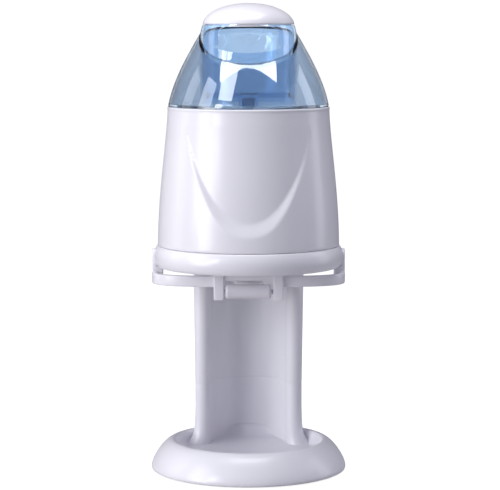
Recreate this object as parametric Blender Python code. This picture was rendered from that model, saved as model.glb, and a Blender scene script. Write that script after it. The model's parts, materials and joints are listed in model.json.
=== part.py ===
"""Soft-serve ice cream maker, modelled at rest with the lid on and the dispensing lever up.

The origin is on the table under the bowl's axis: +Z up, +X right, -Y front.
Dimensions below are in millimetres, and MM turns them into Blender's metres. Heights are given
from a datum plane just above the underside of the base; DATUM raises it above the table.
"""

import math

import bmesh
import bpy
from mathutils import Matrix, Vector

MM = 0.001
DATUM = 4.6          # the datum plane's height above the table
GAP = 0.3            # between pieces that touch
WALL = 2.5           # moulded shells
SHELL_SEGMENTS = 28
BOWL_SEGMENTS = 24
ROUND_SEGMENTS = 20    # drive and spout pieces
SMALL_SEGMENTS = 12

# Base
FOOT_Z = (-DATUM, -2.9)
FOOT_R = 7.0
FOOT_PLACES = ((-56, -50), (56, -50), (-56, 50), (56, 50))
SKIRT_BOTTOM = -2.8
SKIRT_CURVE = ((93.9, -1.0), (93.9, 6.6), (81.4, 25.2), (73.2, 25.2))
TRAY_R, TRAY_Z = 66.0, 13.0
PLATE_R = 90.4
PLATE_Z = (-2.5, -0.5)
BASE_SCREW_PLACES = ((-41, -41), (41, -41), (-20, 40), (20, 40))

# Column: a C in plan, open to the front
COLUMN_Y = 36.0
COLUMN_OUT_TOP, COLUMN_OUT_SEAM = 53.9, 52.3
STUB_OUT = (56.0, 54.4, 52.7, COLUMN_OUT_SEAM)    # flares towards the foot
COLUMN_IN = 37.0
COLUMN_MID = (COLUMN_OUT_TOP + COLUMN_IN) / 2
SEAM_Z = 73.0
CHANNEL_SWEEP = 66.0  # degrees each side of straight back
GLAND_Z = 46.0
SWITCH_Z = 142.0

# Collar under the body
COLLAR_R = 87.3
COLLAR_Z = (193.2, 213.3)
COLLAR_CURVE = ((86.4, COLLAR_Z[0]), (91.6, 196.5), (91.8, 207.5), (COLLAR_R, COLLAR_Z[1]))
COLLAR_FLOOR = COLLAR_Z[0] + 3.0
LEAD_HOLE = (20.0, 76.6)
COLUMN_SCREW_PLACES = ((-COLUMN_MID, 33.0), (COLUMN_MID, 33.0))

# Body and its bowl well
BODY_Z = (213.6, 345.6)
BODY_CURVE = ((86.8, 213.6), (86.4, 268.0), (77.2, 318.0), (77.0, 345.6))
BODY_MOUTH_R = 73.5
WELL_R, WELL_WALL = 71.0, 2.0
WELL_Z = (229.0, 338.6)
WELL_HOLE_R = 34.0

# Drive: one pinion turns the turntable's outer gear
GEAR_MODULE = 2.4
GEAR_TEETH, PINION_TEETH = 40, 8
GEAR_Z = (216.0, 222.0)
PINION_Y = GEAR_MODULE * (GEAR_TEETH + PINION_TEETH) / 2
MOTOR_R = 23.5
MOTOR_Z = (COLLAR_FLOOR + GAP, 213.5)
MOTOR_EAR_X = 29.0

# Freezer bowl
BOWL_R, BOWL_TOP = 70.0, 337.0
BOWL_BOTTOM = 236.0
LINER_R = 60.0
OUTLET_R = 10.0

# Spout under the bowl
SPOUT_R = 14.0
SPOUT_BOTTOM = 172.0
GATE_Z = (180.3, 183.3)
GATE_HOLE_Y = 17.0
SPOUT_SCREW_X = 19.2

# Dispensing lever
LEVER_Z = 203.0
LEVER_OUT = (92.4, 46.0)
LEVER_IN = (87.8, 41.2)
LEVER_POWER = 3.3
BAR_Z = (178.0, 188.4)
PRONG_X = (23.0, 32.6)
PRONG_Y = (-50.0, -41.0)
PRONG_Z = (166.0, 190.8)
EAR_R = 7.0
SHOULDER_X = 82.0
GRIP_Y, GRIP_Z = -45.5, 174.0
GRIP_R, GRIP_HALF = 7.0, 21.5

# Lid: dome of revolution with a tower set forward
LID_BOTTOM = BODY_Z[1] + GAP
DOME_CURVE = ((76.6, LID_BOTTOM), (72.5, 369.0), (59.5, 392.0), (46.0, 415.0))
DOME_TOP = ((46.0, 415.0), (41.0, 419.6), (34.0, 421.6), (24.0, 422.6))
LID_WALL = 2.2
TOWER_Y = -16.0
TOWER_R, TOWER_TOP_R = 45.5, 43.0
TOWER_Z = (349.0, 414.0, 423.2)
POUR_HALF_W = 33.6
POUR_Z = (396.5, 404.0, 418.0)
CAP_CURVE = ((43.2, 423.6), (40.5, 434.5), (24.5, 443.5), (0.0, 443.5))


# ---------------------------------------------------------------- helpers

def clear_scene():
    for obj in list(bpy.data.objects):
        bpy.data.objects.remove(obj, do_unlink=True)


def material(name, colour, roughness=0.4, metallic=0.0, transmission=0.0):
    found = bpy.data.materials.get(name)
    if found:
        return found
    made = bpy.data.materials.new(name)
    made.use_nodes = True
    shader = made.node_tree.nodes["Principled BSDF"]
    shader.inputs["Base Color"].default_value = (*colour, 1.0)
    shader.inputs["Roughness"].default_value = roughness
    shader.inputs["Metallic"].default_value = metallic
    shader.inputs["Transmission Weight"].default_value = transmission
    made.diffuse_color = (*colour, 1.0)
    return made


def white_plastic():
    return material("white_plastic", (0.84, 0.83, 0.88), 0.32)


def blue_clear():
    return material("blue_clear_plastic", (0.20, 0.45, 0.78), 0.08, transmission=0.9)


def dark_rubber():
    return material("dark_rubber", (0.03, 0.03, 0.035), 0.7)


def grey_seal():
    return material("seal_silicone", (0.55, 0.57, 0.60), 0.6)


def zinc_steel():
    return material("zinc_steel", (0.62, 0.63, 0.65), 0.3, 1.0)


def acetal():
    return material("natural_acetal", (0.88, 0.87, 0.82), 0.35)


def mesh_object(name, bm, finish, at=(0, 0, 0)):
    """Turns a bmesh in millimetres into an object whose origin is at the given point."""
    bmesh.ops.recalc_face_normals(bm, faces=bm.faces)
    bmesh.ops.translate(bm, verts=bm.verts, vec=-Vector(at))
    bmesh.ops.scale(bm, verts=bm.verts, vec=(MM, MM, MM))
    mesh = bpy.data.meshes.new(name)
    bm.to_mesh(mesh)
    bm.free()
    if finish:
        mesh.materials.append(finish)
    mesh.shade_smooth()
    mesh.set_sharp_from_angle(angle=math.radians(35))
    obj = bpy.data.objects.new(name, mesh)
    obj.location = (Vector(at) + Vector((0, 0, DATUM))) * MM
    bpy.context.scene.collection.objects.link(obj)
    return obj


def bezier(curve, count):
    """Points along a cubic from its four control points, ends included."""
    points = []
    for step in range(count + 1):
        t = step / count
        weights = ((1 - t) ** 3, 3 * t * (1 - t) ** 2, 3 * t * t * (1 - t), t ** 3)
        points.append(tuple(sum(w * p[axis] for w, p in zip(weights, curve)) for axis in (0, 1)))
    return points


def arc(centre, radius, start, end, count):
    """Points on a circle from one angle to another, in degrees."""
    return [(centre[0] + radius * math.cos(math.radians(start + (end - start) * i / count)),
             centre[1] + radius * math.sin(math.radians(start + (end - start) * i / count)))
            for i in range(count + 1)]


def turned(profile, segments=SHELL_SEGMENTS, centre=(0.0, 0.0)):
    """A closed profile of (radius, height) turned about a vertical axis."""
    bm = bmesh.new()
    rings = []
    for radius, height in profile:
        if radius < 1e-6:
            rings.append([bm.verts.new((centre[0], centre[1], height))])
            continue
        rings.append([bm.verts.new((centre[0] + radius * math.cos(math.tau * i / segments),
                                    centre[1] + radius * math.sin(math.tau * i / segments), height))
                      for i in range(segments)])
    for ring, other in zip(rings, rings[1:] + rings[:1]):
        if len(ring) == 1 and len(other) == 1:
            continue
        for i in range(segments):
            k = (i + 1) % segments
            corners = [ring[i % len(ring)], ring[k % len(ring)],
                       other[k % len(other)], other[i % len(other)]]
            bm.faces.new(list(dict.fromkeys(corners)))
    return bm


def lofted(outlines, heights):
    """A solid through outlines of equal length at the given heights, with flat ends."""
    bm = bmesh.new()
    rings = [[bm.verts.new((x, y, z)) for x, y in outline]
             for outline, z in zip(outlines, heights)]
    count = len(rings[0])
    for low, high in zip(rings, rings[1:]):
        for i in range(count):
            k = (i + 1) % count
            bm.faces.new((low[i], low[k], high[k], high[i]))
    bm.faces.new(rings[0])
    bm.faces.new(rings[-1])
    return bm


def box(low, high):
    outline = [(low[0], low[1]), (high[0], low[1]), (high[0], high[1]), (low[0], high[1])]
    return lofted([outline, outline], [low[2], high[2]])


def circle(radius, centre=(0.0, 0.0), segments=SMALL_SEGMENTS, turn=0.0):
    return [(centre[0] + radius * math.cos(math.tau * (i + turn) / segments),
             centre[1] + radius * math.sin(math.tau * (i + turn) / segments)) for i in range(segments)]


def peg(radius, centre, low, high, segments=SMALL_SEGMENTS):
    """An upright round bar, turned a little so that its edges miss those of what it meets."""
    outline = circle(radius, centre, segments, 0.37)
    return lofted([outline, outline], [low, high])


def laid(bm, along, centre):
    """Turns a shape made about +Z so that it runs along X or Y through the centre."""
    if along == "X":
        turn = Matrix.Rotation(math.radians(90), 4, "Y")
    else:
        turn = Matrix.Rotation(math.radians(-90), 4, "X")
    bmesh.ops.transform(bm, matrix=Matrix.Translation(centre) @ turn, verts=bm.verts)
    return bm


def sideways(outline, ends):
    """A solid with a (y, z) outline that runs along X between two ends."""
    bm = lofted([outline, outline], ends)
    turn = Matrix(((0, 0, 1, 0), (1, 0, 0, 0), (0, 1, 0, 0), (0, 0, 0, 1)))
    bmesh.ops.transform(bm, matrix=turn, verts=bm.verts)
    return bm


def upright(outline, ends, y=0.0):
    """A solid with an (x, z) outline that stands and runs towards -Y from y."""
    bm = lofted([outline, outline], ends)
    stand = Matrix(((1, 0, 0, 0), (0, 0, -1, 0), (0, 1, 0, 0), (0, 0, 0, 1)))
    bmesh.ops.transform(bm, matrix=Matrix.Translation((0, y, 0)) @ stand, verts=bm.verts)
    return bm


def helper(name, bm):
    """A tool body for a Boolean: it is never part of the object."""
    tool = mesh_object(name, bm, None)
    tool.hide_render = True
    tool.display_type = "WIRE"
    return tool


def combine(obj, bm, operation="DIFFERENCE"):
    tool = helper(obj.name + "_tool", bm)
    boolean = obj.modifiers.new(operation.lower(), "BOOLEAN")
    boolean.operation = operation
    boolean.solver = "EXACT"
    boolean.object = tool
    return obj


def cut(obj, bm):
    return combine(obj, bm, "DIFFERENCE")


def join(obj, bm):
    return combine(obj, bm, "UNION")


def tube(points, radius, sides=6):
    """A round wire through the points, with flat ends."""
    path = [Vector(p) for p in points]
    bm = bmesh.new()
    normal = None
    rings = []
    for i, point in enumerate(path):
        ahead = path[min(i + 1, len(path) - 1)] - path[max(i - 1, 0)]
        ahead.normalize()
        if normal is None:
            normal = ahead.orthogonal().normalized()
        normal = (normal - ahead * normal.dot(ahead)).normalized()
        side = ahead.cross(normal)
        rings.append([bm.verts.new(point + radius * (
            normal * math.cos(math.tau * k / sides) + side * math.sin(math.tau * k / sides)))
            for k in range(sides)])
    for low, high in zip(rings, rings[1:]):
        for k in range(sides):
            m = (k + 1) % sides
            bm.faces.new((low[k], low[m], high[m], high[k]))
    bm.faces.new(rings[0])
    bm.faces.new(rings[-1])
    return bm


def smooth_path(points, steps=3):
    """Catmull-Rom points through the given ones."""
    ends = [points[0], *points, points[-1]]
    path = []
    for a, b, c, d in zip(ends, ends[1:], ends[2:], ends[3:]):
        for step in range(steps):
            t = step / steps
            path.append(tuple(0.5 * (2 * q + (r - p) * t + (2 * p - 5 * q + 4 * r - s) * t * t
                                     + (3 * q - p - 3 * r + s) * t ** 3)
                              for p, q, r, s in zip(a, b, c, d)))
    path.append(tuple(points[-1]))
    return path


def screw(name, place, head, shank, head_r=2.8, shank_r=1.4):
    """A pan-head screw: head and shank are its (low, high) heights and touch each other."""
    if head[0] >= shank[1] - 1e-6:
        profile = [(0, shank[0]), (shank_r, shank[0]), (shank_r, head[0]), (head_r, head[0]),
                   (head_r - 0.5, head[1]), (0, head[1])]
    else:
        profile = [(0, head[0]), (head_r - 0.5, head[0]), (head_r, head[1]), (shank_r, head[1]),
                   (shank_r, shank[1]), (0, shank[1])]
    return mesh_object(name, turned(profile, 8, place), zinc_steel())


def moving_empty(name, at):
    """An empty on a joint's axis, which its pieces are parented to."""
    empty = bpy.data.objects.new(name, None)
    empty.location = (Vector(at) + Vector((0, 0, DATUM))) * MM
    empty.empty_display_size = 0.02
    bpy.context.scene.collection.objects.link(empty)
    return empty


def parent_to(empty, *pieces):
    for piece in pieces:
        piece.parent = empty
        piece.matrix_parent_inverse = Matrix.Translation(-empty.location)


# ------------------------------------------------------------------- base

def c_outline(outer, inner, sweep=90.0, tip=True, steps=13):
    """The column's plan: an arc about (0, COLUMN_Y) open to the front, with round ends."""
    centre = (0.0, COLUMN_Y)
    back = 90.0
    points = arc(centre, outer, back - sweep, back + sweep, steps)
    middle, half = (outer + inner) / 2, (outer - inner) / 2
    for side in (1, -1):
        angle = back + side * sweep
        end = (centre[0] + middle * math.cos(math.radians(angle)),
               centre[1] + middle * math.sin(math.radians(angle)))
        first, last = (angle, angle + 180) if side == 1 else (angle + 180, angle + 360)
        if tip:
            points += arc(end, half, first, last, 5)[1:-1]
        if side == 1:
            points += arc(centre, inner, back + sweep, back - sweep, steps)
    return points


def channel(low, high, outer=None):
    """The hollow inside the column's wall, which carries the leads."""
    outline = c_outline((outer or COLUMN_OUT_SEAM) - WALL, COLUMN_IN + WALL, CHANNEL_SWEEP, False)
    return lofted([outline, outline], [low, high])


def base_housing():
    top = TRAY_Z
    outer = [(SKIRT_CURVE[0][0] - 1.2, SKIRT_BOTTOM)] + bezier(SKIRT_CURVE, 7)
    dish = [(71.0, 24.2), (69.2, 20.0), (TRAY_R, top), (0.0, top)]
    under = [(0.0, top - WALL), (TRAY_R + 1.6, top - WALL), (71.9, 19.0), (73.6, 22.3),
             (77.6, 20.4), (84.2, 13.0), (89.2, 4.4), (91.3, -0.6), (91.3, SKIRT_BOTTOM)]
    base = mesh_object("base_housing", turned(outer + dish + under), white_plastic())
    stub = lofted([c_outline(outer_r, COLUMN_IN) for outer_r in STUB_OUT],
                  [8.4, 24.0, 40.0, SEAM_Z])
    join(base, stub)
    for place in BASE_SCREW_PLACES:
        join(base, peg(4.0, place, PLATE_Z[1] + GAP, top - 1.0))
    cut(base, channel(SKIRT_BOTTOM - 2, SEAM_Z + 1))
    for place in BASE_SCREW_PLACES:
        cut(base, peg(1.7, place, PLATE_Z[1] - 1, top - 2.0, 10))
    cut(base, laid(peg(5.0, (0, 0), -8, 8), "Y", (0, COLUMN_Y + 51, GLAND_Z)))
    return base


def base_plate():
    plate = mesh_object("base_plate", turned([(0, PLATE_Z[0]), (PLATE_R, PLATE_Z[0]),
                                              (PLATE_R, PLATE_Z[1]), (0, PLATE_Z[1])]),
                        material("base_grey", (0.66, 0.66, 0.70), 0.5))
    for place in BASE_SCREW_PLACES:
        cut(plate, peg(1.8, place, PLATE_Z[0] - 1, PLATE_Z[1] + 1, 10))
    return plate


def feet_and_base_screws():
    for number, place in enumerate(FOOT_PLACES, 1):
        low, high = FOOT_Z
        pad = turned([(0, low), (FOOT_R - 0.6, low), (FOOT_R, low + 0.6), (FOOT_R, high), (0, high)],
                     SMALL_SEGMENTS, place)
        mesh_object(f"foot_{number}", pad, dark_rubber())
    for number, place in enumerate(BASE_SCREW_PLACES, 1):
        screw(f"base_screw_{number}", place, (PLATE_Z[0] - 1.5, PLATE_Z[0] - GAP), (-3, TRAY_Z - 3))


# ----------------------------------------------------------------- column

def column():
    low, high = SEAM_Z + GAP, COLLAR_Z[0] - GAP
    outlines = [c_outline(COLUMN_OUT_SEAM, COLUMN_IN), c_outline(COLUMN_OUT_TOP, COLUMN_IN)]
    post = mesh_object("column", lofted(outlines, [low, high]), white_plastic())
    cut(post, channel(low - 1, high + 1))
    for place in COLUMN_SCREW_PLACES:
        cut(post, peg(1.8, place, high - 12, high + 1, 10))
    cut(post, box((-9.5, 80, SWITCH_Z - 6.5), (9.5, 95, SWITCH_Z + 6.5)))
    return post


def cord_gland():
    """An open bush in the back of the stub, where the supply cord would enter."""
    face = COLUMN_Y + COLUMN_OUT_SEAM + 0.8
    bush = turned([(3.4, -6), (4.6, -6), (4.6, 0), (6.6, 0), (6.6, 1.2), (5.6, 2.2), (3.4, 2.2)], 14)
    return mesh_object("cord_gland", laid(bush, "Y", (0, face, GLAND_Z)), dark_rubber())


def power_switch():
    flange_y = COLUMN_Y + 53.8
    dark = material("switch_black", (0.03, 0.03, 0.035), 0.35)
    low, high = SWITCH_Z - 6.2, SWITCH_Z + 6.2
    bezel = mesh_object("switch_bezel", box((-9.2, 79, low), (9.2, flange_y + 0.4, high)), dark)
    join(bezel, box((-11, flange_y, SWITCH_Z - 8), (11, flange_y + 1.4, SWITCH_Z + 8)))
    cut(bezel, box((-6.6, 81, SWITCH_Z - 5.3), (6.6, 96, SWITCH_Z + 5.3)))
    pivot = (0, 86.5, SWITCH_Z)
    outline = [(82.5, -3.0), (90.6, -4.6), (90.0, 0.0), (90.6, 4.6), (82.5, 3.0)]
    bm = sideways([(y, z + SWITCH_Z) for y, z in outline], [-6.0, 6.0])
    mesh_object("switch_rocker", bm, material("rocker_red", (0.5, 0.03, 0.03), 0.35), pivot)


def leads():
    copper_skin = material("lead_insulation", (0.85, 0.85, 0.83), 0.5)
    wall_y = COLUMN_Y + 45.5
    supply = [(0, COLUMN_Y + 45.5, GLAND_Z), (1.0, wall_y, 62), (3.0, wall_y, 85),
              (2.0, wall_y - 2, 105), (0, wall_y - 3.5, 120), (0, 78, SWITCH_Z - 8)]
    mesh_object("supply_lead", tube(smooth_path(supply), 1.5), copper_skin)
    motor = [(0, 77.2, SWITCH_Z + 8), (4, 78, 163), (14, 77.6, 178), (*LEAD_HOLE, 190),
             (*LEAD_HOLE, 196), (*LEAD_HOLE, 200), (19.6, 76.2, 204)]
    mesh_object("motor_lead", tube(smooth_path(motor), 1.5), copper_skin)


# ----------------------------------------------------------------- collar

def collar():
    """Bulging ring with a floor, sunk at both sides where the lever's ears turn."""
    low, high = COLLAR_Z
    profile = ([(SPOUT_R + 1.4, low)] + bezier(COLLAR_CURVE, 6)
               + [(COLLAR_R - 3.0, high), (COLLAR_R - 3.0, COLLAR_FLOOR), (SPOUT_R + 1.4, COLLAR_FLOOR)])
    ring = mesh_object("collar", turned(profile), white_plastic())
    for x in (-MOTOR_EAR_X, MOTOR_EAR_X):
        join(ring, peg(3.6, (x, PINION_Y), COLLAR_FLOOR - 1, 203.7, 12))
        cut(ring, peg(1.6, (x, PINION_Y), 199, 205, 10))
    for place in COLUMN_SCREW_PLACES:
        cut(ring, peg(1.9, place, low - 1, COLLAR_FLOOR + 1, 10))
    for x in (-SPOUT_SCREW_X, SPOUT_SCREW_X):
        cut(ring, peg(1.7, (x, 0), low - 1, COLLAR_FLOOR + 1, 10))
    cut(ring, peg(3.0, LEAD_HOLE, low - 1, COLLAR_FLOOR + 1, 12))
    room = EAR_R + 0.5
    pocket = ([(-room, low - 2), (13.0, low - 2), (13.0, low), (9.8, 200.5), (8.7, LEVER_Z)]
              + arc((0, LEVER_Z), room, 22.5, 180, 7))
    for side in (-1, 1):
        cut(ring, sideways(pocket, sorted((side * (LEVER_IN[0] - 0.4), side * 95))))
        cut(ring, laid(peg(2.8, (0, 0), -6, 6, 12), "X", (side * 86, 0, LEVER_Z)))
    return ring


def collar_screws():
    for number, place in enumerate(COLUMN_SCREW_PLACES, 1):
        head = (COLLAR_FLOOR + GAP, COLLAR_FLOOR + 2.2)
        screw(f"column_screw_{number}", place, head, (185, COLLAR_FLOOR), 3.2, 1.5)


# ------------------------------------------------------------------ drive

def gear_outline(teeth, tooth_turn):
    """Straight-sided teeth, thin enough to run free in mesh."""
    pitch_r = GEAR_MODULE * teeth / 2
    tip_r, root_r = pitch_r + 0.62 * GEAR_MODULE, pitch_r - 0.95 * GEAR_MODULE
    step = math.tau / teeth
    tip_half, root_half = 0.10, 0.24
    points = []
    for tooth in range(teeth):
        middle = tooth_turn + tooth * step
        for radius, part in ((root_r, -root_half), (tip_r, -tip_half),
                             (tip_r, tip_half), (root_r, root_half)):
            angle = middle + part * step
            points.append((radius * math.cos(angle), radius * math.sin(angle)))
    return points


def turntable_gear():
    """Hub and bowl flange with the big gear; the gear has a tooth at straight back."""
    hub = turned([(12.5, 208.7), (20.0, 208.7), (20.0, GEAR_Z[1] + 1), (31.6, 232.4),
                  (31.6, 235.6), (12.5, 235.6)], ROUND_SEGMENTS)
    table = mesh_object("turntable_gear", hub, acetal())
    outline = gear_outline(GEAR_TEETH, math.radians(90))
    join(table, lofted([outline, outline], GEAR_Z))
    cut(table, peg(12.8, (0, 0), GEAR_Z[0] - 2, GEAR_Z[1] + 2, ROUND_SEGMENTS))
    return table


def motor_pinion():
    """The pinion and its shaft, turned so that a gap faces the big gear's tooth."""
    step = 360 / PINION_TEETH
    outline = gear_outline(PINION_TEETH, math.radians(-90 + step / 2))
    centre = (0, PINION_Y, 0)
    bm = lofted([[(x, y + PINION_Y) for x, y in outline]] * 2, GEAR_Z)
    pinion = mesh_object("motor_pinion", bm, zinc_steel(), centre)
    join(pinion, peg(2.5, centre[:2], 210.4, GEAR_Z[1] + 1.0, 14))
    return pinion


def gear_motor():
    low, high = MOTOR_Z
    can = turned([(0, low), (MOTOR_R, low), (MOTOR_R, high - 1.5), (MOTOR_R - 1.5, high),
                  (2.9, high), (2.9, 210.0), (0, 210.0)], ROUND_SEGMENTS, (0, PINION_Y))
    motor = mesh_object("gear_motor", can, zinc_steel())
    ears = box((-33, PINION_Y - 4.5, 204.0), (33, PINION_Y + 4.5, 205.6))
    join(motor, ears)
    for number, x in enumerate((-MOTOR_EAR_X, MOTOR_EAR_X), 1):
        cut(motor, peg(1.7, (x, PINION_Y), 203, 207, 10))
        screw(f"motor_screw_{number}", (x, PINION_Y), (205.9, 207.8), (200, 205), 2.8, 1.3)
    return motor


def bearing():
    pedestal = [(24.9, COLLAR_FLOOR + GAP), (31, COLLAR_FLOOR + GAP), (31, 206.6), (27.2, 206.6),
                (27.2, 213.2), (24.7, 213.2), (24.7, 206.6), (17, 206.6), (17, 204.6), (28.6, 204.6),
                (28.6, 200.2), (24.9, 200.2)]
    mesh_object("bearing_pedestal", turned(pedestal, ROUND_SEGMENTS), white_plastic())
    bush = [(17.2, 206.9), (24.3, 206.9), (24.3, 213.4), (20.6, 213.4), (20.6, 208.3), (17.2, 208.3)]
    bronze = material("bronze", (0.65, 0.42, 0.2), 0.35, 1.0)
    mesh_object("bearing_bush", turned(bush, ROUND_SEGMENTS), bronze)


# ------------------------------------------------------------------ spout

def spout():
    bore = 7.5
    body = [(bore, SPOUT_BOTTOM), (SPOUT_R, SPOUT_BOTTOM), (SPOUT_R, COLLAR_FLOOR + GAP),
            (24.0, COLLAR_FLOOR + GAP), (24.0, 200.0), (15.0, 200.0), (15.0, 206.0), (13.1, 206.0),
            (13.1, 202.6), (10.5, 202.6), (10.5, 199.6), (bore, 198.4)]
    valve = mesh_object("valve_body", turned(body, ROUND_SEGMENTS), white_plastic())
    cut(valve, box((-11.3, -20, GATE_Z[0] - GAP), (11.3, 20, GATE_Z[1] + GAP)))
    for number, x in enumerate((-SPOUT_SCREW_X, SPOUT_SCREW_X), 1):
        cut(valve, peg(1.7, (x, 0), COLLAR_FLOOR - 1, 201, 10))
        screw(f"spout_screw_{number}", (x, 0), (200.3, 202.2), (195, 200), 2.5, 1.3)
    mesh_object("outlet_seal", turned(circle(1.2, (11.75, 204.2), 6), ROUND_SEGMENTS), grey_seal())
    gate = mesh_object("valve_gate", box((-11, -12, GATE_Z[0]), (11, 27, GATE_Z[1])), acetal())
    cut(gate, peg(bore, (0, GATE_HOLE_Y), GATE_Z[0] - 1, GATE_Z[1] + 1, 20))
    nozzle = turned([(0, 161.5), (8.4, 161.5), (10.6, 163.5), (12.4, 168.0), (13.0, SPOUT_BOTTOM - GAP),
                     (0, SPOUT_BOTTOM - GAP)], ROUND_SEGMENTS)
    tip = mesh_object("star_nozzle", nozzle, white_plastic())
    star = [((7.2, 3.9)[i % 2] * math.cos(math.tau * (i + 0.4) / 12),
             (7.2, 3.9)[i % 2] * math.sin(math.tau * (i + 0.4) / 12)) for i in range(12)]
    cut(tip, lofted([star, star], [160, 173]))


# ------------------------------------------------------------------ lever

def super_point(size, angle):
    """A point on the lever's bowed plan; the angle runs from +X towards the front."""
    x, y = math.cos(angle), math.sin(angle)
    power = 2 / LEVER_POWER
    return (size[0] * math.copysign(abs(x) ** power, x), -size[1] * math.copysign(abs(y) ** power, y))


def lever_bar(side):
    """Half of the bar, from beside the pivot to behind one prong."""
    reach = [math.radians(a) for a in (0, 2, 6, 14, 24, 36, 50, 62, 72, 79)]
    outer = [super_point(LEVER_OUT, a) for a in reach]
    inner = [super_point(LEVER_IN, a) for a in reach]
    start = [(LEVER_OUT[0], 5.0)]
    finish = [(LEVER_IN[0], 5.0)]
    outline = [(side * x, y) for x, y in start + outer + inner[::-1] + finish]
    return lofted([outline, outline], BAR_Z)


def bail_lever():
    pivot = (0, 0, LEVER_Z)
    x_low, x_high = PRONG_X
    lever = mesh_object("bail_lever", box((-x_high, -47.5, 184.2), (x_high, PRONG_Y[1], 190.3)),
                        white_plastic(), pivot)
    side_y = EAR_R - 0.1
    ear = [(side_y, 176.8)] + arc((0, LEVER_Z), EAR_R, 0, 180, 8) + [(-side_y, 176.8)]
    top = COLLAR_Z[0] - GAP
    shoulder = [(-side_y, 178.6), (side_y, 178.6), (side_y, top - 4.5), (-2.3, top), (-side_y, top)]
    for side in (-1, 1):
        ends = sorted((side * x_low, side * x_high))
        join(lever, box((ends[0], PRONG_Y[0], PRONG_Z[0]), (ends[1], PRONG_Y[1] + 0.3, PRONG_Z[1])))
        join(lever, lever_bar(side))
        join(lever, sideways(ear, sorted((side * LEVER_IN[0], side * (LEVER_OUT[0] - 0.1)))))
        join(lever, sideways(shoulder, sorted((side * SHOULDER_X, side * (LEVER_OUT[0] - 0.2)))))
    cut(lever, laid(peg(2.3, (0, 0), -30, 30, 14), "X", (0, GRIP_Y, GRIP_Z)))
    cut(lever, laid(peg(2.8, (0, 0), -100, 100, 14), "X", (0, 0, LEVER_Z)))
    axle = mesh_object("grip_axle", laid(peg(2.0, (0, 0), -29.5, 29.5, 14), "X", (0, GRIP_Y, GRIP_Z)),
                       zinc_steel(), (0, GRIP_Y, GRIP_Z))
    grip = [(2.5, -GRIP_HALF), (GRIP_R - 1.6, -GRIP_HALF), (GRIP_R - 0.4, -GRIP_HALF + 0.9),
            (GRIP_R, -GRIP_HALF + 2.4), (GRIP_R, GRIP_HALF - 2.4), (GRIP_R - 0.4, GRIP_HALF - 0.9),
            (GRIP_R - 1.6, GRIP_HALF), (2.5, GRIP_HALF)]
    roller = mesh_object("grip_roller", laid(turned(grip, ROUND_SEGMENTS), "X", (0, GRIP_Y, GRIP_Z)),
                         white_plastic(), (0, GRIP_Y, GRIP_Z))
    axis = moving_empty("bail_axis", pivot)
    parent_to(axis, lever, axle, roller)
    for name, side in (("lever_pin_left", -1), ("lever_pin_right", 1)):
        ends = sorted((side * 74.0, side * (LEVER_OUT[0] - 0.4)))
        bm = laid(peg(2.4, (0, 0), ends[0], ends[1], 14), "X", (0, 0, LEVER_Z))
        parent_to(axis, mesh_object(name, bm, zinc_steel(), pivot))


def return_spring():
    """A torsion spring round the right pin, inside the collar."""
    turns, per_turn, coil_r = 4, 10, 4.4
    coil = [(76.2 + 6.0 * i / (turns * per_turn),
             coil_r * math.cos(math.tau * i / per_turn), LEVER_Z + coil_r * math.sin(math.tau * i / per_turn))
            for i in range(turns * per_turn + 1)]
    legs = [(76.2, coil_r, LEVER_Z - 5.0)], [(82.2, coil_r, LEVER_Z - 5.0)]
    mesh_object("return_spring", tube(legs[0] + coil + legs[1], 0.55, 4),
                material("spring_steel", (0.5, 0.5, 0.52), 0.3, 1.0))


# ------------------------------------------------------------------- body

def body_housing():
    """Tapered outer shell with a turned-in mouth and a spigot into the collar."""
    low, high = BODY_Z
    outer = bezier(BODY_CURVE, 7)
    inner = [(r - WALL, z) for r, z in outer[6:0:-1]]
    top_r = BODY_CURVE[3][0]
    profile = (outer[:-1] + [(top_r, high - 0.8), (top_r - 0.8, high), (BODY_MOUTH_R, high)]
               + [(BODY_MOUTH_R, 339.5), (top_r - WALL, 337.0)] + inner
               + [(COLLAR_R - 5.4, low), (COLLAR_R - 5.4, low - 4.5), (COLLAR_R - 3.3, low - 4.5),
                  (COLLAR_R - 3.3, low)])
    return mesh_object("body_housing", turned(profile), white_plastic())


def bowl_well():
    """The cup inside the body that the freezer bowl turns in, open in the middle of its floor."""
    low, high = WELL_Z
    profile = [(WELL_R, high), (WELL_R, low + 3), (WELL_HOLE_R, low + 3), (WELL_HOLE_R, low),
               (WELL_R + WELL_WALL, low), (WELL_R + WELL_WALL, high)]
    return mesh_object("bowl_well", turned(profile, BOWL_SEGMENTS), white_plastic())


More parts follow.
